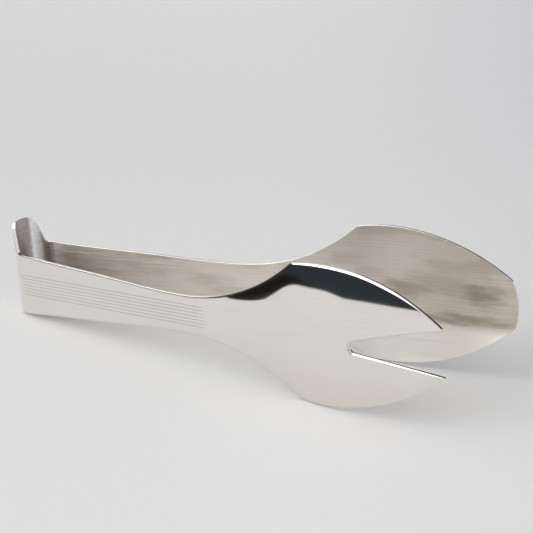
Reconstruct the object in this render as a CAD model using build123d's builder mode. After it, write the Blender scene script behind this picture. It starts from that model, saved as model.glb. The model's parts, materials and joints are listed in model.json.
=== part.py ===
"""Fork-and-spoon serving tongs, stamped from one strip of stainless steel sheet and bent over.

The tongs are drawn along their own axis: x runs from the bow to the blade tips, y is the side (the spoon is on +y),
and z runs across the strip, which stands on its edge. The rest plane then sets them down as they lie on a table,
on the closed end and on the lower edges of both blades, with the blades pointing along +X.
"""

import os
from math import asin, atan, atan2, cos, hypot, radians, sin, sqrt, tan

from build123d import *

os.makedirs("parts", exist_ok=True)

# Driving dimensions, in millimetres and degrees. Every x is measured from the centre of the bow's bend.
sheet = 1.5  # thickness of the steel
bow_radius = 11.5  # to the middle of the sheet
strip_half = 14.5  # half the width of the strip round the bow
spread_angle = 6.9  # each arm leaves the middle plane by this angle
bend_start = 160.0  # where an arm starts to turn parallel to the other
bend_length = 26.0
handle_middle = (45.0, 11.5)  # a point on a handle's edge
handle_root_slope = 0.105  # how fast that edge closes in as it leaves the bow
neck = (97.3, 8.8)  # the narrowest place
shoulder_x = 159.0  # the corner where the flare ends and the blade begins
shoulder_round = 3.5
blade_radius = 94.8  # the long edges of a blade are arcs of this radius
blade_wide_x = 172.1
blade_half = 31.7
tip_x = 232.0
dish_radius = 174.0  # hollow of a blade, across its width
curl_x = 128.0  # where the flare is curled most, across its width
flare_curl = 0.8  # it is curled more than the blade by this share
dish_x = 166.0  # from here on the blade has its own curve
spoon_corner_x = 231.3  # where the spoon's end would meet its long edges
spoon_end_x = 233.0
spoon_corner_round = 2.5
notch_root = (175.9, -2.7)  # where the two straight sides of the fork's notch would meet
notch_round = 2.5
tab_top = 28.0  # height of the thumb tab over the strip's centre line
tab_shoulder = (5.5, 27.2)  # points on the tab's outline, seen from the closed end
tab_corner = (7.8, 24.8)
tab_flank = (9.25, 20.1)
tab_foot = 10.3
line_count = 7  # lines engraved along each handle
line_pitch = 1.56
line_width = 0.4
line_depth = 0.15
line_start = 2.0
line_end = 109.5
section_count = 14  # sections that shape a blade

# Derived dimensions.
turn = radians(spread_angle)
outer_radius = bow_radius + sheet / 2
inner_radius = bow_radius - sheet / 2
seam_x = -bow_radius * sin(turn)
seam_y = bow_radius * cos(turn)
blade_centre = blade_half - blade_radius
blank_half = blade_half + 4.0  # the blades are shaped this wide, then cut to their outline
blank_end = spoon_end_x + 5.0
side_reach = 60.0  # further to the side than either arm


def blade_edge(x):
    """Half the width of a blade at x."""
    return blade_centre + sqrt(blade_radius**2 - (x - blade_wide_x) ** 2)


spoon_end_half = blade_edge(spoon_corner_x)
spoon_bulge = spoon_end_x - spoon_corner_x
spoon_end_radius = (spoon_end_half**2 + spoon_bulge**2) / (2 * spoon_bulge)

# The rest plane: the line that touches the bow's lower edge and the blades' lower edges is level.
lever = hypot(blade_wide_x + outer_radius, strip_half - blade_centre)
tilt = asin(blade_radius / lever) - atan2(strip_half - blade_centre, blade_wide_x + outer_radius)
front = (spoon_end_x - spoon_end_radius) * cos(tilt) + spoon_end_radius
back = -outer_radius * cos(tilt) - tab_top * sin(tilt)
lift = outer_radius * sin(tilt) + strip_half * cos(tilt)
rest = Plane(
    origin=(-(front + back) / 2, 0, lift),
    x_dir=(cos(tilt), 0, sin(tilt)),
    z_dir=(-sin(tilt), 0, cos(tilt)),
)


def side_view():
    """The plane for a drawing of the tongs from the side: x along them, z across the strip."""
    return Plane(origin=rest.origin, x_dir=rest.x_dir, z_dir=-rest.y_dir)


def cross_section(x):
    """The plane for a drawing across the tongs at x: y to the side, z across the strip."""
    return Plane(origin=rest.from_local_coords((x, 0, 0)), x_dir=rest.y_dir, z_dir=rest.x_dir)


def sheet_middle(x):
    """How far the middle of an arm's sheet is from the middle plane at x: straight, then bent parallel."""
    bent = min(max(x - bend_start, 0), bend_length)
    straight = seam_y + (min(x, bend_start + bend_length) - seam_x) * tan(turn)
    return straight - tan(turn) * bent**2 / (2 * bend_length)


def sheet_slope(x):
    """How fast the sheet moves away from the middle plane at x."""
    return tan(turn) * (1 - min(max((x - bend_start) / bend_length, 0), 1))


def smooth_step(value):
    """0 up to 0, 1 from 1 on, and smoothly between them."""
    value = min(max(value, 0), 1)
    return value * value * (3 - 2 * value)


def dish_share(x):
    """The curl of the sheet across its width at x: 0 on the flat handle, most in the flare, 1 in the blade."""
    grown = smooth_step((x - neck[0]) / (curl_x - neck[0]))
    return grown * (1 + flare_curl * (1 - smooth_step((x - curl_x) / (dish_x - curl_x))))


def sheet_section(x, side):
    """The sheet cut across at x: a thin band, hollow towards the middle plane where the blade is dished."""
    half_sheet = sheet / 2 / cos(atan(sheet_slope(x)))
    middle = sheet_middle(x)
    hollow = dish_share(x) * blank_half**2 / (2 * dish_radius)
    with BuildSketch(cross_section(x)) as section:
        with BuildLine():
            for face_y in (middle - half_sheet, middle + half_sheet):
                top = (side * (face_y - hollow), blank_half)
                bottom = (side * (face_y - hollow), -blank_half)
                if hollow > 0:
                    ThreePointArc(bottom, (side * face_y, 0), top)
                else:
                    Line(bottom, top)
            for end in (-blank_half, blank_half):
                Line((side * (middle - half_sheet - hollow), end), (side * (middle + half_sheet - hollow), end))
        make_face()
    return section.sketch


def handle_plan(side):
    """The flat handle seen along z, from the seam with the bow to the neck."""
    half_sheet = sheet / 2 / cos(turn)
    with BuildSketch(rest) as plan:
        with BuildLine():
            Polyline(
                (-outer_radius * sin(turn), side * outer_radius * cos(turn)),
                (neck[0], side * (sheet_middle(neck[0]) + half_sheet)),
                (neck[0], side * (sheet_middle(neck[0]) - half_sheet)),
                (-inner_radius * sin(turn), side * inner_radius * cos(turn)),
                close=True,
            )
        make_face()
    return plan.sketch


def blade_sections(side):
    """Sections of one blade, from the neck to past its end."""
    step = (blank_end - neck[0]) / section_count
    return [sheet_section(neck[0] + i * step, side) for i in range(section_count + 1)]


def arm_edge(sign, end_x):
    """Draws one long edge of an arm, from the bow to end_x: the upper one for sign 1, the lower for -1."""
    root = (seam_x, sign * strip_half)
    narrow = (neck[0], sign * neck[1])
    shoulder = (shoulder_x, sign * blade_edge(shoulder_x))
    end = (end_x, sign * blade_edge(end_x))
    Line((-outer_radius, sign * strip_half), root)
    Spline(
        root,
        (handle_middle[0], sign * handle_middle[1]),
        narrow,
        tangents=[(1, -sign * handle_root_slope), (1, 0)],
    )
    TangentArc(narrow, shoulder, tangent=(1, 0))
    RadiusArc(shoulder, end, sign * blade_radius)


def near(points, x):
    """The corners of a drawing that lie at x."""
    return points.filter_by(lambda corner: abs(corner.X - x) < 0.01)


def line_plane(side):
    """The plane of a handle's outer face, with its x along the handle from the seam."""
    return Plane(
        origin=rest.from_local_coords((-outer_radius * sin(turn), side * outer_radius * cos(turn), 0)),
        x_dir=rest.x_dir * cos(turn) + rest.y_dir * side * sin(turn),
        z_dir=rest.y_dir * side * cos(turn) - rest.x_dir * sin(turn),
    )


def engraved_lines(side):
    """Fine parallel lines along a handle's outer face."""
    with BuildSketch(line_plane(side)) as lines:
        with Locations(((line_start + line_end) / 2, 0)):
            with GridLocations(0, line_pitch, 1, line_count):
                Rectangle(line_end - line_start, line_width)
    return lines.sketch


# The fork arm: the blade ends in two points with a rounded notch between them.
with BuildPart() as fork_arm:
    extrude(handle_plan(-1), amount=blank_half, both=True)
    loft(blade_sections(-1))
    with BuildSketch(side_view()) as fork_outline:
        with BuildLine():
            arm_edge(1, tip_x)
            arm_edge(-1, tip_x)
            Line((-outer_radius, strip_half), (-outer_radius, -strip_half))
            FilletPolyline(
                (tip_x, blade_edge(tip_x)), notch_root, (tip_x, -blade_edge(tip_x)), radius=notch_round
            )
        make_face()
        fillet(near(fork_outline.vertices(), shoulder_x), shoulder_round)
    extrude(amount=side_reach, both=True, mode=Mode.INTERSECT)
    extrude(engraved_lines(-1), amount=-line_depth, mode=Mode.SUBTRACT)

# The spoon arm: the same blade, whole, with a gently rounded end.
with BuildPart() as spoon_arm:
    extrude(handle_plan(1), amount=blank_half, both=True)
    loft(blade_sections(1))
    with BuildSketch(side_view()) as spoon_outline:
        with BuildLine():
            arm_edge(1, spoon_corner_x)
            arm_edge(-1, spoon_corner_x)
            Line((-outer_radius, strip_half), (-outer_radius, -strip_half))
            ThreePointArc(
                (spoon_corner_x, spoon_end_half),
                (spoon_end_x, 0),
                (spoon_corner_x, -spoon_end_half),
            )
        make_face()
        fillet(near(spoon_outline.vertices(), shoulder_x), shoulder_round)
        fillet(near(spoon_outline.vertices(), spoon_corner_x), spoon_corner_round)
    extrude(amount=side_reach, both=True, mode=Mode.INTERSECT)
    extrude(engraved_lines(1), amount=-line_depth, mode=Mode.SUBTRACT)

# The bow: the strip bent round, with the thumb tab standing up from its upper edge. The middle surface of the
# sheet is cut to the outline first and then thickened, so that every edge stays square to the sheet.
with BuildLine(rest.offset(-strip_half)) as bend:
    CenterArc((0, 0), bow_radius, 90 + spread_angle, 180 - 2 * spread_angle)
middle_surface = Face.extrude(bend.edge(), rest.z_dir * (tab_top + strip_half + 1))

with BuildPart() as bow_outline:
    with BuildSketch(cross_section(0)):
        Rectangle(2 * outer_radius, 2 * strip_half)
        with BuildLine():
            Spline(
                (-tab_foot, strip_half),
                (-tab_flank[0], tab_flank[1]),
                (-tab_corner[0], tab_corner[1]),
                (-tab_shoulder[0], tab_shoulder[1]),
                (0, tab_top),
                tab_shoulder,
                tab_corner,
                tab_flank,
                (tab_foot, strip_half),
            )
            Line((tab_foot, strip_half), (-tab_foot, strip_half))
        make_face()
    extrude(amount=-2 * outer_radius)

with BuildPart() as spring_bow:
    thicken(middle_surface & bow_outline.part, amount=sheet / 2, both=True)

spring_bow.part.label = "spring_bow"
fork_arm.part.label = "fork_arm"
spoon_arm.part.label = "spoon_arm"

export_step(spring_bow.part, "parts/spring_bow.step")
export_step(fork_arm.part, "parts/fork_arm.step")
export_step(spoon_arm.part, "parts/spoon_arm.step")
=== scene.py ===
"""Looks for the fork-and-spoon serving tongs: the steel, the floor, the light and the camera.

The tongs are one strip of sheet steel, so each visible piece is a piece of that sheet: an outline drawn on
the flat strip, cut out, shaped, given its thickness and rounded at its edges. The pieces meet without a
step, and the two halves of the bow reach from the bow's middle to the arms.

Outlines are in millimetres along the tongs' own axes: x (or the distance s round the bow) along them, and
z across.
"""

import json
from math import asin, atan2, cos, degrees, hypot, pi, radians, sin, sqrt, tan

import bpy
import numpy as np
from mathutils import Matrix, Vector
from mathutils.geometry import delaunay_2d_cdt


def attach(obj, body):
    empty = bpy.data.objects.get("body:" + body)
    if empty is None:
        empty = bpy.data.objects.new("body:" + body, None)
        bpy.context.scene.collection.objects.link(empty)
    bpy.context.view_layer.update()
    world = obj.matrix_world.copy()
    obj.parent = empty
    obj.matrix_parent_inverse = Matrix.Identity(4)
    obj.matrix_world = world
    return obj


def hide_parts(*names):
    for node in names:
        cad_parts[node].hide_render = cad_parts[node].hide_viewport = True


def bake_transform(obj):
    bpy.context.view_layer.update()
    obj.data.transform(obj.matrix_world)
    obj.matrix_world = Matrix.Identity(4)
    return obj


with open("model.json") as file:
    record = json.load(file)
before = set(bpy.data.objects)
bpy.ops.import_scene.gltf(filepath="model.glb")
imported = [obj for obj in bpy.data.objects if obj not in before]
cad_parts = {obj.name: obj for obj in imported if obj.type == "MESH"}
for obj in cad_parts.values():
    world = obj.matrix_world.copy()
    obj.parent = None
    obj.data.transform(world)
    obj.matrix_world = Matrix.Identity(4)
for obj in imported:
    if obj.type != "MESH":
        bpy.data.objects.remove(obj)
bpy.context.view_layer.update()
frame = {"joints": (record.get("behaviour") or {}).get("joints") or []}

# The shape of the sheet, in millimetres and degrees, as in the CAD part.
sheet = 1.5
bow_radius = 11.5
strip_half = 14.5
spread_angle = 6.9
bend_start = 160.0
bend_length = 26.0
handle_middle = (45.0, 11.5)
handle_root_slope = 0.105
neck = (97.3, 8.8)
shoulder_x = 159.0
shoulder_round = 3.5
blade_radius = 94.8
blade_wide_x = 172.1
blade_half = 31.7
tip_x = 232.0
tip_round = 0.35
dish_radius = 174.0
curl_x = 128.0  # where the flare is curled most, across its width
flare_curl = 0.8  # it is curled more than the blade by this share
dish_x = 166.0  # from here on the blade has its own curve
spoon_corner_x = 231.3
spoon_end_x = 233.0
spoon_corner_round = 2.5
notch_root = (175.9, -2.7)
notch_round = 2.5
tab_top = 28.0
tab_outline = [(5.5, 27.2), (7.8, 24.8), (9.25, 20.1), (10.3, strip_half)]
tab_foot_round = 1.2
roll_in = 0.9  # stamping rolls the outer face over along a handle's edges, this far in
roll_drop = 0.22  # and this deep
blade_roll_in = 1.1  # a blade's edges are rounded more
blade_roll_drop = 0.9
edge_change = 2.0  # the edge changes from the one to the other over this length, at the shoulder
burr_round = 0.15  # the inner face's edges are nearly sharp
point_inset = 0.1  # towards a sharp point the rolled edge narrows to this
point_widening = 0.035  # and widens by this share of the distance from the point
line_count = 7
line_pitch = 1.56
line_half_width = 0.16
line_depth = 0.022
line_fade = 0.8  # a line runs out over this length
line_start_s = 14.3  # round the bow, where the lines start
line_end_x = 107.2
bow_columns = [-0.5, 0, 0.4, 0.8, 1.5]  # columns of points on the bow, from the lines' start
seam_margin = 1.7  # on a seam the points stay this many roll widths away from the strip's edge

# How finely the meshes follow the shape.
outline_step = 1.0
face_step = 1.6
line_step = 2.0
corner_step = 9.0  # degrees
tab_steps = 24  # between two points of the tab's outline
roll_steps = 6
burr_steps = 2
shortest_step = 0.3  # a share of outline_step
doubled_point = 1e-7

# The order of each piece's materials.
outer_slot, inner_slot, edge_slot, line_slot = range(4)

# Derived.
turn = radians(spread_angle)
seam_x = -bow_radius * sin(turn)
seam_y = bow_radius * cos(turn)
seam_s = bow_radius * (pi / 2 - turn)
blade_centre = blade_half - blade_radius
off_the_ends = 10 * line_fade
mm = 0.001

# The tongs' own axes in the frame: z from a hinge's axis, and the origin from a hinge's place, which is the
# centroid of a quarter of the bow.
hinge = next(joint for joint in frame["joints"] if joint["child"] == "spoon_side")
up_axis = Vector(hinge["axis"]).normalized()
if up_axis.z < 0:
    up_axis = -up_axis
long_axis = Vector((up_axis.z, 0, -up_axis.x))
sweep = pi / 2 - turn
reach = bow_radius * mm * sin(sweep / 2) / (sweep / 2)
pivot_angle = pi - sweep / 2
origin = Vector(hinge["pos_m"]) - long_axis * reach * cos(pivot_angle)
origin.y = 0
axes = np.array([long_axis, (0, 1, 0), up_axis])


def blade_edge(x):
    """Half the width of a blade at x."""
    return blade_centre + np.sqrt(blade_radius**2 - (x - blade_wide_x) ** 2)


def along(start, stop, step):
    """Evenly spaced values from start to stop, about step apart."""
    return np.linspace(start, stop, max(2, int(round(abs(stop - start) / step)) + 1))


def curve(xs, zs):
    return np.stack([xs, zs], axis=1)


def handle_edge(xs):
    """Half the width of a handle: a smooth curve through its root, middle and neck, level at the neck."""
    first, second = handle_middle[0] - seam_x, neck[0] - handle_middle[0]
    rise_1, rise_2 = handle_middle[1] - strip_half, neck[1] - handle_middle[1]
    bend = 3 * (rise_1 / first**2 + rise_2 / second**2) + handle_root_slope / first
    middle_slope = bend / (2 / first + 2 / second)
    in_first = xs < handle_middle[0]
    length = np.where(in_first, first, second)
    t = np.where(in_first, (xs - seam_x) / first, (xs - handle_middle[0]) / second)
    low = np.where(in_first, strip_half, handle_middle[1])
    high = np.where(in_first, handle_middle[1], neck[1])
    slope_low = np.where(in_first, -handle_root_slope, middle_slope) * length
    slope_high = np.where(in_first, middle_slope, 0) * length
    return (
        low * (1 + 2 * t) * (1 - t) ** 2 + slope_low * t * (1 - t) ** 2
        + high * t**2 * (3 - 2 * t) + slope_high * t**2 * (t - 1)
    )


def flare_edge(xs):
    """Half the width of the flare: an arc, level at the neck, that ends at the shoulder."""
    run = shoulder_x - neck[0]
    rise = blade_edge(shoulder_x) - neck[1]
    radius = (run**2 + rise**2) / (2 * rise)
    return neck[1] + radius - np.sqrt(radius**2 - (xs - neck[0]) ** 2)


def line_heights():
    """The middle of each engraved line, across the strip."""
    return [(i - (line_count - 1) / 2) * line_pitch for i in range(line_count)]


def lattice_heights():
    """Rows of points that follow the engraved lines: five across each line, and one between two lines."""
    rows = []
    for middle in line_heights():
        rows += [middle + share * line_half_width for share in (-1, -0.5, 0, 0.5, 1)]
        rows.append(middle + line_pitch / 2)
    rows.append(line_heights()[0] - line_pitch / 2)
    return np.array(sorted(rows))


def seam_heights():
    """The points of a cut between two pieces, the same on both, so that they meet exactly."""
    band = lattice_heights()
    above = np.append(along(band[-1], strip_half - seam_margin * roll_in, face_step)[1:], strip_half)
    return np.concatenate([-above[::-1], band, above])


def smooth_share(value):
    value = np.clip(value, 0, 1)
    return value * value * (3 - 2 * value)


def smooth_rate(value):
    """How fast smooth_share changes."""
    value = np.clip(value, 0, 1)
    return 6 * value * (1 - value)


def hollow(x):
    """The curvature of an arm across its width at x, and how fast that changes: none on the handle, most in
    the flare, and that of the dished blade after it."""
    rise = (x - neck[0]) / (curl_x - neck[0])
    fall = (x - curl_x) / (dish_x - curl_x)
    grown, more = smooth_share(rise), 1 + flare_curl * (1 - smooth_share(fall))
    rate = smooth_rate(rise) / (curl_x - neck[0]) * more
    rate -= grown * flare_curl * smooth_rate(fall) / (dish_x - curl_x)
    return grown * more / dish_radius, rate / dish_radius


class Arm:
    """The middle surface of an arm: flat along the handle, dished in the flare and the blade, and bent
    parallel there."""

    def __init__(self, side):
        self.side = side

    def surface(self, points):
        """Places on the middle of the sheet, the outward normal there, and the directions along x and z."""
        x, z = points[:, 0], points[:, 1]
        bent = np.clip(x - bend_start, 0, bend_length)
        straight = seam_y + (np.minimum(x, bend_start + bend_length) - seam_x) * tan(turn)
        middle = straight - tan(turn) * bent**2 / (2 * bend_length)
        slope = tan(turn) * (1 - bent / bend_length)
        curl, curl_rate = hollow(x)
        y = middle - curl * z**2 / 2
        y_along = slope - curl_rate * z**2 / 2
        y_across = -curl * z
        zero, one = np.zeros_like(x), np.ones_like(x)
        place = np.stack([x, self.side * y, z], axis=1)
        along_x = np.stack([one, self.side * y_along, zero], axis=1)
        along_z = np.stack([zero, self.side * y_across, one], axis=1)
        normal = np.stack([-y_along, self.side * one, -y_across], axis=1)
        return place, unit(normal), unit(along_x), unit(along_z)

    def line_room(self, points):
        """How far each point is inside the two ends of the engraved lines."""
        return np.full(len(points), off_the_ends), line_end_x - points[:, 0]

    def strip_length(self, points):
        """Distance along the strip from the bow's middle."""
        return seam_s + (points[:, 0] - seam_x) / cos(turn)


class Bow:
    """The middle surface of one half of the bow: s is the distance round it from the bow's middle."""

    def __init__(self, side):
        self.side = side

    def surface(self, points):
        angle = points[:, 0] / bow_radius
        z = points[:, 1]
        zero, one = np.zeros_like(z), np.ones_like(z)
        normal = np.stack([-np.cos(angle), self.side * np.sin(angle), zero], axis=1)
        place = bow_radius * normal + np.stack([zero, zero, z], axis=1)
        along_s = np.stack([np.sin(angle), self.side * np.cos(angle), zero], axis=1)
        along_z = np.stack([zero, zero, one], axis=1)
        return place, normal, along_s, along_z

    def line_room(self, points):
        return points[:, 0] - line_start_s, np.full(len(points), off_the_ends)

    def strip_length(self, points):
        return points[:, 0]


def line_share(shape, points):
    """How much of their full depth the engraved lines have at these points."""
    from_start, to_end = shape.line_room(points)
    return smooth_share(from_start / line_fade) * smooth_share(to_end / line_fade)


def groove(shape, points):
    """How deep the engraved lines are at these points."""
    depth = np.zeros(len(points))
    share = line_share(shape, points)
    for middle in line_heights():
        offset = (points[:, 1] - middle) / line_half_width
        depth = np.where(np.abs(offset) < 1, line_depth * share * (1 - offset**2), depth)
    return depth


def unit(vectors):
    return vectors / np.linalg.norm(vectors, axis=1, keepdims=True)


def cut_back(points, length):
    """A run of points without the given length at its end."""
    steps = np.linalg.norm(np.diff(points, axis=0), axis=1)
    left = steps[::-1].cumsum()[::-1]
    keep = int(np.argmax(left <= length)) if (left <= length).any() else len(left)
    ahead = left[keep - 1] - length
    end = points[keep - 1] + (points[keep] - points[keep - 1]) * ahead / steps[keep - 1]
    kept = points[:keep]
    if np.linalg.norm(kept[-1] - end) < shortest_step * outline_step and keep > 1:
        kept = kept[:-1]
    return np.vstack([kept, end])


def direction(start, end):
    return (end - start) / np.linalg.norm(end - start)


def corner_angle(before, after):
    """How far an outline turns from the end of one run to the start of the next."""
    arrive = direction(before[-2], before[-1])
    leave = direction(after[0], after[1])
    return atan2(arrive[0] * leave[1] - arrive[1] * leave[0], arrive @ leave)


def outline(runs):
    """Joins runs of points into a closed outline. Each run comes with the radius that rounds the corner at
    its end (or None) and with whether it is a cut between pieces. Returns the points, and the outward
    direction at each, which is zero along a cut and points along the cut at its ends."""
    shapes = [np.array(points, float) for points, _, _ in runs]
    count = len(runs)
    arcs = [None] * count
    for i, (_, radius, _) in enumerate(runs):
        if not radius:
            continue
        j = (i + 1) % count
        length = radius * tan(abs(corner_angle(shapes[i], shapes[j])) / 2)
        shapes[i] = cut_back(shapes[i], length)
        shapes[j] = cut_back(shapes[j][::-1], length)[::-1]
        arcs[i] = corner_arc(shapes[i], shapes[j], radius)
    points, outward = [], []
    for i, (_, radius, is_cut) in enumerate(runs):
        run = shapes[i] if runs[i - 1][1] else shapes[i][1:]
        following = (i + 1) % count
        if is_cut:
            facing = np.zeros_like(run)
            facing[-1] = direction(shapes[i][-2], shapes[i][-1])
        else:
            facing = edge_normals(shapes[i])[-len(run):]
            if runs[following][2]:
                facing[-1] = direction(shapes[following][1], shapes[following][0])
        points.append(run)
        outward.append(facing)
        if radius:
            arc, arc_normals = arcs[i]
            points.append(arc)
            outward.append(arc_normals)
    return np.vstack(points), np.vstack(outward)


def corner_arc(before, after, radius):
    """The points strictly between the end of one run and the start of the next, round a corner."""
    start, end = before[-1], after[0]
    arrive = direction(before[-2], before[-1])
    angle = corner_angle(before, after)
    way = 1 if angle > 0 else -1
    inward = np.array([-arrive[1], arrive[0]]) * way
    centre = start + inward * radius
    steps = max(3, int(abs(degrees(angle)) / corner_step))
    swept = np.array([turned(-inward, angle * k / steps) for k in range(steps + 1)])
    arc = centre + swept * radius
    arc += np.linspace(0, 1, steps + 1)[:, None] * (end - arc[-1])
    return arc[1:-1], (swept * way)[1:-1]


def turned(vector, angle):
    return np.array([
        vector[0] * cos(angle) - vector[1] * sin(angle),
        vector[0] * sin(angle) + vector[1] * cos(angle),
    ])


def edge_normals(points):
    """The outward direction at each point of a run that goes anticlockwise round its outline."""
    tangent = np.gradient(points, axis=0)
    return unit(np.stack([tangent[:, 1], -tangent[:, 0]], axis=1))


def inside_distance(points, loop):
    """How far each point is from an outline, negative outside it."""
    start, end = loop, np.roll(loop, -1, axis=0)
    edge = end - start
    length_squared = (edge**2).sum(1)
    best = np.full(len(points), np.inf)
    crossings = np.zeros(len(points), int)
    for a, b, e, l2 in zip(start, end, edge, length_squared):
        t = np.clip(((points - a) @ e) / l2, 0, 1)
        best = np.minimum(best, np.hypot(*(points - a - t[:, None] * e).T))
        spans = (a[1] > points[:, 1]) != (b[1] > points[:, 1])
        with np.errstate(divide="ignore", invalid="ignore"):
            x_hit = a[0] + (points[:, 1] - a[1]) * e[0] / e[1]
        crossings += spans & (points[:, 0] < x_hit)
    return np.where(crossings % 2 == 1, best, -best)


def face_points(loop, band_x):
    """Points inside an outline, with the edges between them: rows that follow the engraved lines over
    band_x, and an even spread elsewhere."""
    low, high = loop.min(0), loop.max(0)
    row_step = face_step * sqrt(3) / 2
    rows = np.arange(low[1] + row_step / 2, high[1], row_step)
    spread = np.array([
        (x, z) for i, z in enumerate(rows)
        for x in np.arange(low[0] + face_step * (0.5 + 0.5 * (i % 2)), high[0], face_step)
    ])
    spread = spread[inside_distance(spread, loop) > 0.5 * face_step]
    heights = lattice_heights()
    in_band = (
        (spread[:, 0] > band_x[0] - 0.5 * face_step) & (spread[:, 0] < band_x[-1] + 0.5 * face_step)
        & (np.abs(spread[:, 1]) < heights[-1] + 0.5 * face_step)
    )
    lattice = np.array([(x, z) for z in heights for x in band_x])
    columns = len(band_x)
    edges = []
    for row in range(len(heights)):
        edges += [(row * columns + i, row * columns + i + 1) for i in range(columns - 1)]
    return np.vstack([lattice, spread[~in_band]]), edges


def edge_sizes(loop, sharp_points, on_arm):
    """How far in the rolled edge reaches at each point of an outline, and how deep it goes there."""
    on_blade = np.zeros(len(loop))
    if on_arm:
        on_blade = smooth_share((loop[:, 0] - shoulder_x + edge_change / 2) / edge_change)
    insets = roll_in + (blade_roll_in - roll_in) * on_blade
    drops = roll_drop + (blade_roll_drop - roll_drop) * on_blade
    for point in sharp_points:
        away = np.linalg.norm(loop - point, axis=1)
        share = np.minimum(1, (point_inset + point_widening * away) / insets)
        insets, drops = insets * share, drops * share
    return insets, drops


def edge_rings(insets, drops):
    """The edge's profile from the outer face round to the inner one. For each ring of points: how far in it
    is, its height over the middle of the sheet, its normal (outward along the sheet, and up), and the
    material after it."""
    rings = []
    for angle in np.linspace(pi / 2, 0, roll_steps + 1):
        outward, up = cos(angle) / insets, sin(angle) / drops
        steepness = np.hypot(outward, up)
        facing = (outward / steepness, up / steepness)
        rings.append((insets * (1 - cos(angle)), sheet / 2 - drops * (1 - sin(angle)), facing, edge_slot))
    ones = np.ones_like(insets)
    for step, angle in enumerate(np.linspace(0, pi / 2, burr_steps + 1)):
        inset = ones * min(burr_round, point_inset) * (1 - cos(angle))
        height = ones * burr_round * (1 - sin(angle)) - sheet / 2
        facing = (ones * cos(angle), -ones * sin(angle))
        rings.append((inset, height, facing, inner_slot if step == burr_steps else edge_slot))
    rings.append((insets, -ones * sheet / 2, (0 * ones, -ones), inner_slot))
    return rings


class Faces:
    """The faces of a mesh, each with its material and its corners' normals and places on the strip."""

    def __init__(self):
        self.corners = []
        self.normals = []
        self.slots = []
        self.strip = []

    def add(self, corners, normals, slot, strip, reverse):
        way = -1 if reverse else 1
        self.corners.append([int(i) for i in corners[::way]])
        self.normals.extend(normals[::way])
        self.slots.append(slot)
        self.strip.extend(strip[::way])


def strip_places(shape, points):
    """Distances along the strip and heights across it."""
    return np.stack([shape.strip_length(points), points[:, 1]], axis=1)


def triangulated(name, rim, inner_points, edges):
    """All points of a piece's face, the rim first, and the triangles between them, anticlockwise."""
    count = len(rim)
    flat = np.vstack([rim, inner_points])
    chain = [(i, (i + 1) % count) for i in range(count)]
    chain += [(a + count, b + count) for a, b in edges]
    result = delaunay_2d_cdt([Vector(p) for p in flat], chain, [], 1, doubled_point)
    new_points, triangles, came_from = result[0], result[2], result[3]
    if len(new_points) != len(flat):
        raise RuntimeError(f"{name}: the outline crosses itself or a point was doubled")
    order = np.array([sources[0] for sources in came_from])
    triangles = np.array([[order[i] for i in face] for face in triangles])
    a, b, c = flat[triangles[:, 0]], flat[triangles[:, 1]], flat[triangles[:, 2]]
    area = (b[:, 0] - a[:, 0]) * (c[:, 1] - a[:, 1]) - (b[:, 1] - a[:, 1]) * (c[:, 0] - a[:, 0])
    triangles[area < 0] = triangles[area < 0][:, ::-1]
    return flat, triangles


def add_sheet(faces, shape, flat, triangles):
    """The outer face of the sheet, with the engraved lines, and the inner one. Returns their points."""
    place, normal, _, along_z = shape.surface(flat)
    strip = strip_places(shape, flat)
    flip = shape.side > 0
    middle_z = flat[triangles].mean(axis=1)[:, 1]
    for face, z in zip(triangles, middle_z):
        nearest = min(line_heights(), key=lambda height: abs(height - z))
        facing = normal[face]
        slot = outer_slot
        if abs(z - nearest) < line_half_width:
            offset = (flat[face, 1] - nearest) / line_half_width
            share = line_share(shape, flat[face])
            rate = -2 * line_depth * share * offset / line_half_width
            facing = unit(facing + along_z[face] * rate[:, None])
            slot = line_slot if share.max() > 0 else outer_slot
        faces.add(face, facing, slot, strip[face], flip)
        faces.add(face + len(flat), -normal[face], inner_slot, strip[face], not flip)
    outer = place + normal * (sheet / 2 - groove(shape, flat))[:, None]
    inner = place - normal * (sheet / 2)
    return [outer, inner]


def add_edge(faces, shape, loop, outward, rings, total):
    """The edge of a piece: rings of points from its outer face round to its inner one, the first and the
    last of which are the rims of the two faces. Returns the new points."""
    count = len(loop)
    rim_depth = groove(shape, loop - outward * rings[-1][0][:, None])
    on_cut = (np.abs(outward).sum(1) == 0)[:, None]
    vertices, ring_index, ring_normals, ring_strip = [], [], [], []
    for number, (inset, height, facing, _) in enumerate(rings):
        at = loop - outward * inset[:, None]
        place, up, along_x, along_z = shape.surface(at)
        away = outward[:, :1] * along_x + outward[:, 1:] * along_z
        aim = away * facing[0][:, None] + up * facing[1][:, None]
        ring_normals.append(unit(np.where(on_cut, up, aim)))
        ring_strip.append(strip_places(shape, at))
        first = 2 * total + len(vertices) * count
        if number == 0:
            first = 0
        elif number == len(rings) - 1:
            first = total
        else:
            vertices.append(place + up * np.minimum(height, sheet / 2 - rim_depth)[:, None])
        ring_index.append(np.arange(count) + first)
    cut_normals = cut_directions(shape, loop, outward)
    for number in range(len(rings) - 1):
        for i in range(count):
            j = (i + 1) % count
            corners = [(number, i), (number + 1, i), (number + 1, j), (number, j)]
            normals = [ring_normals[ring][k] for ring, k in corners]
            slot = rings[number][3]
            if cut_normals[i] is not None:
                normals = [cut_normals[i]] * 4
                slot = edge_slot
            index = [ring_index[ring][k] for ring, k in corners]
            strip = [ring_strip[ring][k] for ring, k in corners]
            faces.add(index, normals, slot, strip, shape.side > 0)
    return vertices


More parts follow.
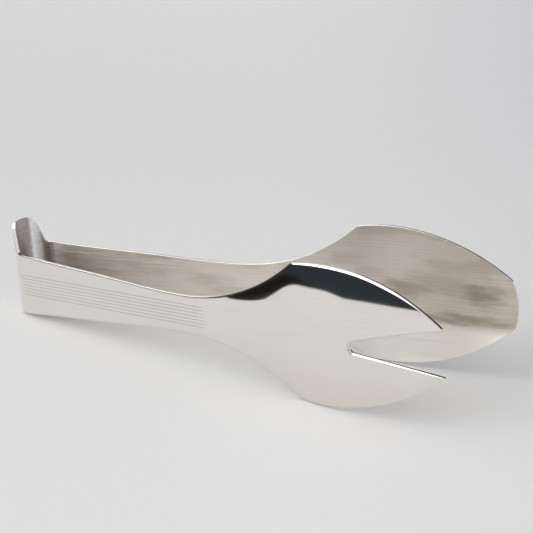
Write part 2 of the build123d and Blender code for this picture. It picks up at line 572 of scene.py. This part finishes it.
def cut_directions(shape, loop, outward):
    """The normal of the flat cut for each side of the outline that lies on a cut, and None for the
    others."""
    on_cut = np.abs(outward).sum(1) == 0
    count = len(loop)
    _, _, along_x, _ = shape.surface(loop)
    found = []
    for i in range(count):
        j = (i + 1) % count
        if not (on_cut[i] or on_cut[j]):
            found.append(None)
            continue
        found.append(along_x[i] * (1 if loop[j][1] > loop[i][1] else -1))
    return found


def make_piece(name, shape, runs, band_x, materials, sharp_points=()):
    """A closed mesh of one piece of the sheet, cut to its outline, with stamped edges and engraved lines."""
    loop, outward = outline(runs)
    insets, drops = edge_sizes(loop, sharp_points, isinstance(shape, Arm))
    rim = loop - outward * insets[:, None]
    flat, triangles = triangulated(name, rim, *face_points(rim, band_x))
    faces = Faces()
    vertices = add_sheet(faces, shape, flat, triangles)
    vertices += add_edge(faces, shape, loop, outward, edge_rings(insets, drops), len(flat))

    placed = np.array(origin)[None, :] + np.vstack(vertices) * mm @ axes
    mesh = bpy.data.meshes.new(name)
    mesh.from_pydata(placed.tolist(), [], faces.corners)
    piece = bpy.data.objects.new(name, mesh)
    bpy.context.scene.collection.objects.link(piece)
    for material in materials:
        mesh.materials.append(material)
    mesh.polygons.foreach_set("material_index", faces.slots)
    mesh.polygons.foreach_set("use_smooth", [True] * len(faces.corners))
    layer = mesh.uv_layers.new(name="strip")
    layer.data.foreach_set("uv", (np.array(faces.strip) * mm).ravel())
    mesh.update()
    mesh.normals_split_custom_set((np.array(faces.normals) @ axes).tolist())
    return piece


# Outlines, anticlockwise in (x, z).
seam = seam_heights()


def arm_runs(end_x, end_round, end_runs):
    """The outline of an arm, from the bow's seam along its lower edge, round its end, and back."""
    handle = along(seam_x, neck[0], outline_step)
    flare = along(neck[0], shoulder_x, outline_step)
    blade = along(shoulder_x, end_x, outline_step)
    lower = np.vstack([curve(handle, -handle_edge(handle)), curve(flare, -flare_edge(flare))[1:]])
    upper = lower[::-1] * (1, -1)
    lower_blade = curve(blade, -blade_edge(blade))
    upper_blade = lower_blade[::-1] * (1, -1)
    return [
        (lower, shoulder_round, False),
        (lower_blade, end_round, False),
        *[(run, radius, False) for run, radius in end_runs],
        (upper_blade, shoulder_round, False),
        (upper, None, False),
        (curve(np.full(len(seam), seam_x), seam[::-1]), None, True),
    ]


def straight(start, end):
    steps = max(2, int(hypot(end[0] - start[0], end[1] - start[1]) / outline_step) + 1)
    return np.linspace(start, end, steps)


def fork_tips():
    """The lower and the upper tip."""
    half = float(blade_edge(tip_x))
    return (tip_x, -half), (tip_x, half)


def fork_runs():
    """Two points with a rounded notch between them."""
    lower_tip, upper_tip = fork_tips()
    return arm_runs(tip_x, tip_round, [
        (straight(lower_tip, notch_root), notch_round),
        (straight(notch_root, upper_tip), tip_round),
    ])


def spoon_runs():
    """A whole blade with a gently rounded end."""
    half = float(blade_edge(spoon_corner_x))
    bulge = spoon_end_x - spoon_corner_x
    radius = (half**2 + bulge**2) / (2 * bulge)
    angles = along(-asin(half / radius), asin(half / radius), outline_step / radius)
    end = curve(spoon_end_x - radius + radius * np.cos(angles), radius * np.sin(angles))
    return arm_runs(spoon_corner_x, spoon_corner_round, [(end, spoon_corner_round)])


def tab_curve():
    """The edge of the thumb tab from its foot to its top, on the flat strip."""
    points = [(0.0, tab_top)] + tab_outline
    knots = np.array([(-y, z) for y, z in points[:0:-1]] + points)
    fine = smooth_curve(knots, tab_steps)
    fine = fine[fine[:, 0] >= -1e-6]
    s = bow_radius * np.arcsin(fine[:, 0] / bow_radius)
    return curve(s, fine[:, 1])[::-1]


def smooth_curve(knots, per_span):
    """A smooth curve through points (a natural cubic spline by distance)."""
    t = np.concatenate([[0], np.cumsum(np.linalg.norm(np.diff(knots, axis=0), axis=1))])
    gaps = np.diff(t)
    size = len(knots)
    matrix = np.eye(size)
    right = np.zeros((size, 2))
    for i in range(1, size - 1):
        matrix[i, i - 1:i + 2] = gaps[i - 1], 2 * (gaps[i - 1] + gaps[i]), gaps[i]
        right[i] = 6 * ((knots[i + 1] - knots[i]) / gaps[i] - (knots[i] - knots[i - 1]) / gaps[i - 1])
    second = np.linalg.solve(matrix, right)
    fine = []
    for i in range(size - 1):
        for share in np.linspace(0, 1, per_span, endpoint=False):
            a, b = (1 - share) * gaps[i], share * gaps[i]
            fine.append(
                second[i] * a**3 / (6 * gaps[i]) + second[i + 1] * b**3 / (6 * gaps[i])
                + (knots[i] / gaps[i] - second[i] * gaps[i] / 6) * a
                + (knots[i + 1] / gaps[i] - second[i + 1] * gaps[i] / 6) * b
            )
    fine.append(knots[-1])
    return np.array(fine)


def bow_runs():
    """Half the bow, from its middle to the seam, with half the thumb tab on its upper edge."""
    foot_s = bow_radius * asin(tab_outline[-1][0] / bow_radius)
    bottom = along(0, seam_s, outline_step)
    top = along(seam_s, foot_s, outline_step / 2)
    middle = along(tab_top, -strip_half, outline_step)
    return [
        (curve(bottom, np.full(len(bottom), -strip_half)), None, False),
        (curve(np.full(len(seam), seam_s), seam), None, True),
        (curve(top, np.full(len(top), strip_half)), tab_foot_round, False),
        (tab_curve(), None, False),
        (curve(np.zeros(len(middle)), middle), None, True),
    ]


# Materials.


def node(tree, kind, inputs=(), **settings):
    """A shader node with its inputs given as values or as other nodes' outputs."""
    made = tree.nodes.new("ShaderNode" + kind)
    for name, value in settings.items():
        setattr(made, name, value)
    for key, value in dict(inputs).items():
        if isinstance(value, bpy.types.NodeSocket):
            tree.links.new(value, made.inputs[key])
        else:
            made.inputs[key].default_value = value
    return made


def aimed(azimuth, elevation):
    """The direction at an azimuth and an elevation in degrees."""
    flat = cos(radians(elevation))
    return (flat * cos(radians(azimuth)), flat * sin(radians(azimuth)), sin(radians(elevation)))


def window(tree, value, start, full):
    """0 before start and 1 past full, smoothly between."""
    inputs = {"Value": value, "From Min": start, "From Max": full}
    return node(tree, "MapRange", inputs, interpolation_type="SMOOTHSTEP").outputs["Result"]


def calc(tree, operation, first, second=0.0):
    return node(tree, "Math", {0: first, 1: second}, operation=operation).outputs[0]


def dot(tree, vector, axis):
    return node(tree, "VectorMath", {0: vector, 1: axis}, operation="DOT_PRODUCT").outputs["Value"]


def mixed(tree, factor, first, second):
    """A colour between two others."""
    return node(tree, "Mix", {"Factor": factor, 6: first, 7: second}, data_type="RGBA").outputs[2]


def mixed_value(tree, factor, first, second):
    """A number between two others."""
    return node(tree, "Mix", {"Factor": factor, "A": first, "B": second}, data_type="FLOAT").outputs[0]


# Noise on the steel, as scales per metre along the strip and across it.
brushed_streaks = (22, 1500)
polished_streaks = (30, 2200)
worn_patches = (35, 110)
fine_ridges = (60, 5000)
smudge_border = (70, 420)
ridge_height = 0.00002
lay_along_strip = 0.25  # as a share of a full turn
smudge_unevenness = 2.2
smudge_fade = (2.3, 0.9)
smudge_strength = 0.9


def strip_noise(tree, scales, detail=3.0):
    """Noise drawn out along the strip."""
    place = node(tree, "UVMap", uv_map="strip").outputs["UV"]
    spread = node(tree, "Mapping", {"Vector": place, "Scale": (*scales, 1)}).outputs["Vector"]
    inputs = {"Vector": spread, "Scale": 1.0, "Detail": detail}
    return node(tree, "TexNoise", inputs, noise_dimensions="2D").outputs["Fac"]


def steel(name, light, dark, roughness, brushing, streaks=polished_streaks, grain=0.0, patches=0.0):
    """Stainless steel with streaks and patches along the strip. The brushing spreads its reflections
    across it."""
    material = bpy.data.materials.new(name)
    material.use_nodes = True
    tree = material.node_tree
    shader = tree.nodes["Principled BSDF"]
    fine = window(tree, strip_noise(tree, streaks), 0.3, 0.7)
    broad = window(tree, strip_noise(tree, worn_patches, 2.0), 0.42, 0.68)
    worn = calc(tree, "MULTIPLY", broad, patches)
    shade = calc(tree, "ADD", calc(tree, "MULTIPLY", fine, 1 - patches), worn)
    tree.links.new(mixed(tree, shade, (*light, 1), (*dark, 1)), shader.inputs["Base Color"])
    rough = calc(tree, "ADD", roughness * 0.85, calc(tree, "MULTIPLY", fine, roughness * 0.3))
    tree.links.new(rough, shader.inputs["Roughness"])
    shader.inputs["Metallic"].default_value = 1
    shader.inputs["Anisotropic"].default_value = brushing
    shader.inputs["Anisotropic Rotation"].default_value = lay_along_strip
    lay = node(tree, "Tangent", direction_type="UV_MAP", uv_map="strip").outputs["Tangent"]
    tree.links.new(lay, shader.inputs["Tangent"])
    if grain:
        ridges = strip_noise(tree, fine_ridges, 2.0)
        bump = node(tree, "Bump", {"Height": ridges, "Strength": grain, "Distance": ridge_height})
        tree.links.new(bump.outputs["Normal"], shader.inputs["Normal"])
    return material


def over_colour(material, share, colour):
    """Lays another colour over a steel as far as the share says."""
    tree = material.node_tree
    socket = tree.nodes["Principled BSDF"].inputs["Base Color"]
    tree.links.new(mixed(tree, share, socket.links[0].from_socket, (*colour, 1)), socket)


def strip_place(tree):
    """The distance along the strip and the height across it, in metres."""
    place = node(tree, "UVMap", uv_map="strip").outputs["UV"]
    parts = node(tree, "SeparateXYZ", {0: place}).outputs
    return parts["X"], parts["Y"]


def below(material, start, full, colour):
    """Lays a colour over a steel below a height on the strip, and fully below a second one."""
    tree = material.node_tree
    _, across = strip_place(tree)
    over_colour(material, window(tree, across, start * mm, full * mm), colour)


def band(material, start, full, fade, end, colour):
    """Lays a colour over a steel between two distances along the strip, with soft borders."""
    tree = material.node_tree
    distance, _ = strip_place(tree)
    rising = window(tree, distance, start * mm, full * mm)
    falling = window(tree, distance, end * mm, fade * mm)
    over_colour(material, calc(tree, "MULTIPLY", rising, falling), colour)


def smudge(material, length, height, long, high, colour):
    """A worn patch with a soft and uneven border, at a place on the strip."""
    tree = material.node_tree
    u, v = strip_place(tree)
    off_u = calc(tree, "DIVIDE", calc(tree, "SUBTRACT", u, length * mm), long * mm)
    off_v = calc(tree, "DIVIDE", calc(tree, "SUBTRACT", v, height * mm), high * mm)
    along_squared = calc(tree, "MULTIPLY", off_u, off_u)
    squared = calc(tree, "ADD", along_squared, calc(tree, "MULTIPLY", off_v, off_v))
    border = calc(tree, "MULTIPLY", strip_noise(tree, smudge_border), smudge_unevenness)
    patch = window(tree, calc(tree, "ADD", squared, border), *smudge_fade)
    over_colour(material, calc(tree, "MULTIPLY", patch, smudge_strength), colour)


outer_steel = steel(
    "outer_polished_steel", (0.88, 0.86, 0.83), (0.83, 0.81, 0.78), roughness=0.05, brushing=0.3, patches=0.3
)
# Painted shade: the outer face gets darker towards its lower edge.
below(outer_steel, 4, -26, (0.79, 0.755, 0.71))
inner_steel = steel(
    "inner_brushed_steel", (0.76, 0.72, 0.66), (0.55, 0.50, 0.435), roughness=0.33, brushing=0.75,
    streaks=brushed_streaks, grain=0.4, patches=0.5,
)
# Painted highlight: the inner face is bright along its lower part, where it faces up to the light.
below(inner_steel, -10, -16, (0.99, 0.975, 0.94))
smudge(inner_steel, 199, 2.5, 14, 6, (0.44, 0.405, 0.345))
smudge(inner_steel, 236, 3.0, 12, 7, (0.38, 0.345, 0.29))
smudge(inner_steel, 228, -9.5, 26, 3, (0.40, 0.365, 0.30))
# Painted shade: the inside of the bow is a darker copy of the inner steel.
bow_shade_and_reflection_steel = steel(
    "inner_bow_steel_painted_shade_and_reflection", (0.50, 0.465, 0.44), (0.37, 0.335, 0.31), roughness=0.30, brushing=0.5,
    streaks=brushed_streaks, grain=0.3, patches=0.5,
)
# Painted reflection: a bright stripe round the inside of the bow.
band(bow_shade_and_reflection_steel, 4.5, 6.5, 9.8, 12.0, (0.93, 0.94, 0.98))
edge_steel = steel("edge_steel", (0.78, 0.76, 0.73), (0.72, 0.70, 0.67), roughness=0.12, brushing=0.0)
line_steel = steel("engraved_lines", (0.62, 0.60, 0.57), (0.56, 0.54, 0.51), roughness=0.22, brushing=0.0)
arm_steels = [outer_steel, inner_steel, edge_steel, line_steel]
bow_steels = [outer_steel, bow_shade_and_reflection_steel, edge_steel, line_steel]

# The pieces: the two arms, and the two halves of the bow.
arm_band = along(seam_x, line_end_x + line_step, line_step)[1:]
bow_band = line_start_s + np.array(bow_columns)
sides = [
    (-1, "fork_side", "fork", fork_runs(), fork_tips()),
    (1, "spoon_side", "spoon", spoon_runs(), ()),
]
for side, body, name, runs, tips in sides:
    arm = make_piece(f"{name}_arm_sheet", Arm(side), runs, arm_band, arm_steels, tips)
    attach(arm, body)
    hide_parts(f"{name}_arm")
    half = make_piece(f"bow_{name}_half", Bow(side), bow_runs(), bow_band, bow_steels)
    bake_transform(half)
    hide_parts("spring_bow")

# The floor: pale paper, with painted shade that makes it a little darker to the right of the tongs and far
# behind them, where the light falls off.
floor_half = 1.6
rightward_way = (0.84, 0.54, 0)
nearer_way = (0.54, -0.84, 0)
floor_corners = [
    (-floor_half, -floor_half, 0), (floor_half, -floor_half, 0),
    (floor_half, floor_half, 0), (-floor_half, floor_half, 0),
]
floor_mesh = bpy.data.meshes.new("floor")
floor_mesh.from_pydata(floor_corners, [], [(0, 1, 2, 3)])
floor = bpy.data.objects.new("floor", floor_mesh)
bpy.context.scene.collection.objects.link(floor)
paper = bpy.data.materials.new("paper")
paper.use_nodes = True
tree = paper.node_tree
paper_shader = tree.nodes["Principled BSDF"]
where = node(tree, "TexCoord").outputs["Object"]
rightward = window(tree, dot(tree, where, rightward_way), 0.0, 0.32)
nearness = window(tree, dot(tree, where, nearer_way), -0.5, 0.25)
left_tone = mixed(tree, nearness, (0.71, 0.71, 0.71, 1), (0.81, 0.81, 0.81, 1))
right_tone = mixed(tree, nearness, (0.575, 0.57, 0.60, 1), (0.71, 0.71, 0.715, 1))
tree.links.new(mixed(tree, rightward, left_tone, right_tone), paper_shader.inputs["Base Color"])
paper_shader.inputs["Roughness"].default_value = 0.9
floor.data.materials.append(paper)

# The light, all from the world. The steel reflects a bright soft box, a fill light in front and a dark room
# over the paper behind. Diffuse surfaces get an even light with a softer soft box.
room_light = 0.92
soft_box_light = 1.4
fill_light = 3.8
paper_light = 0.2  # added where the steel reflects the paper behind
darkest = 0.03
diffuse_room_light = 0.65
diffuse_soft_box_light = 0.50
backdrop_light = 0.65


def cone(tree, aim, azimuth, elevation, full, gone):
    """1 within an angle of a direction and 0 beyond a larger one, in degrees."""
    return window(tree, dot(tree, aim, aimed(azimuth, elevation)), cos(radians(gone)), cos(radians(full)))


world = bpy.data.worlds.new("studio")
bpy.context.scene.world = world
world.use_nodes = True
tree = world.node_tree
background = tree.nodes["Background"]
aim = node(tree, "TexCoord").outputs["Generated"]
height = node(tree, "SeparateXYZ", {0: aim}).outputs["Z"]
soft_box = cone(tree, aim, 200, 60, 26, 36)
front_fill = cone(tree, aim, 228, 24, 12, 30)
backward = cone(tree, aim, 72, 30, 46, 54)
above_paper = window(tree, height, sin(radians(7)), sin(radians(12)))
dark_room = calc(tree, "MULTIPLY", backward, above_paper)
paper_behind = calc(tree, "MULTIPLY", backward, calc(tree, "SUBTRACT", 1.0, above_paper))
box_part = calc(tree, "MULTIPLY", soft_box, soft_box_light)
lights = calc(tree, "ADD", box_part, calc(tree, "MULTIPLY", front_fill, fill_light))
open_light = calc(tree, "ADD", lights, calc(tree, "MULTIPLY", paper_behind, paper_light))
lit_room = calc(tree, "ADD", open_light, room_light)
studio = calc(tree, "MULTIPLY", lit_room, calc(tree, "SUBTRACT", 1.0, dark_room))
reflected = calc(tree, "MAXIMUM", studio, darkest)
diffuse_box = calc(tree, "MULTIPLY", soft_box, diffuse_soft_box_light)
diffuse = calc(tree, "ADD", diffuse_room_light, diffuse_box)
ray = node(tree, "LightPath").outputs
lighting = mixed_value(tree, ray["Is Diffuse Ray"], reflected, diffuse)
shown = mixed_value(tree, ray["Is Camera Ray"], lighting, backdrop_light)
tree.links.new(shown, background.inputs["Strength"])
tint = mixed(tree, soft_box, (0.985, 0.985, 1.0, 1), (1.0, 0.99, 0.97, 1))
tree.links.new(tint, background.inputs["Color"])
bpy.context.scene.view_settings.view_transform = "Standard"

# Black cloth on the floor in front of the tongs, out of the picture, with two black flags standing along its
# far side and its left end, in millimetres. Only the steel sees them, as the dark shapes in its reflections.
# The cloth's corners come with the radius that rounds them, or None.
cloth_left = -700
cloth_right = 400
cloth_back = -620
cloth_corners = [
    ((cloth_left, -240), None), ((-140, -162), None), ((-80, -132), 6), ((-163, -214), 20),
    ((-116, -288), 25), ((cloth_right, -170), None), ((cloth_right, cloth_back), None),
    ((cloth_left, cloth_back), None),
]
cloth_lift = 0.5
low_flag = 90
tall_flag = 360
flag_split = -450  # the flag is tall on the left of this x
flag_end = 450


def cornered(corners):
    """The outline of a flat card with straight sides and rounded corners."""
    count = len(corners)
    runs = []
    for i, (start, _) in enumerate(corners):
        end, radius = corners[(i + 1) % count]
        runs.append(([start, end], radius, False))
    return outline(runs)[0]


def only_reflected(name, points, faces, material):
    """A card of the studio that the steel reflects, but that casts no shadow and isn't seen itself."""
    mesh = bpy.data.meshes.new(name)
    mesh.from_pydata((np.array(points, float) * mm).tolist(), [], faces)
    mesh.materials.append(material)
    card = bpy.data.objects.new(name, mesh)
    bpy.context.scene.collection.objects.link(card)
    card.visible_camera = False
    card.visible_diffuse = False
    card.visible_shadow = False


def standing(feet, height):
    """The points of an upright card, its feet first, and its faces."""
    count = len(feet)
    points = [(x, y, 0) for x, y in feet] + [(x, y, height) for x, y in feet]
    return points, [(i, i + 1, i + 1 + count, i + count) for i in range(count - 1)]


black = bpy.data.materials.new("black_cloth")
black.use_nodes = True
tree = black.node_tree
tree.nodes.clear()
where = node(tree, "TexCoord").outputs["Object"]
depth = window(tree, dot(tree, where, (0, 1, 0)), -0.26, -0.31)
tint = mixed(tree, depth, (0.012, 0.009, 0.007, 1), (0.026, 0.034, 0.040, 1))
glow = node(tree, "Emission", {"Color": tint, "Strength": 1}).outputs[0]
node(tree, "OutputMaterial", {"Surface": glow})
cloth_points = [(x, y, cloth_lift) for x, y in cornered(cloth_corners)]
only_reflected("black_cloth", cloth_points, [tuple(range(len(cloth_points)))], black)
low_feet = [(cloth_right, cloth_back), (flag_split, cloth_back)]
only_reflected("low_flag", *standing(low_feet, low_flag), black)
tall_feet = [(flag_split, cloth_back), (cloth_left, cloth_back), (cloth_left, flag_end)]
only_reflected("tall_flag", *standing(tall_feet, tall_flag), black)

# Camera.
camera_place = (0.498931, -0.748736, 0.372583)
camera_heading = 32.806
camera_pitch = 20.1895
camera_roll = 0.5318
camera_data = bpy.data.cameras.new("camera")
camera_data.lens = 145.88
camera_data.sensor_width = 36
camera = bpy.data.objects.new("camera", camera_data)
bpy.context.scene.collection.objects.link(camera)
camera.matrix_world = (
    Matrix.Translation(camera_place)
    @ Matrix.Rotation(radians(camera_heading), 4, "Z")
    @ Matrix.Rotation(radians(90 - camera_pitch), 4, "X")
    @ Matrix.Rotation(-radians(camera_roll), 4, "Z")
)
bpy.context.scene.camera = camera
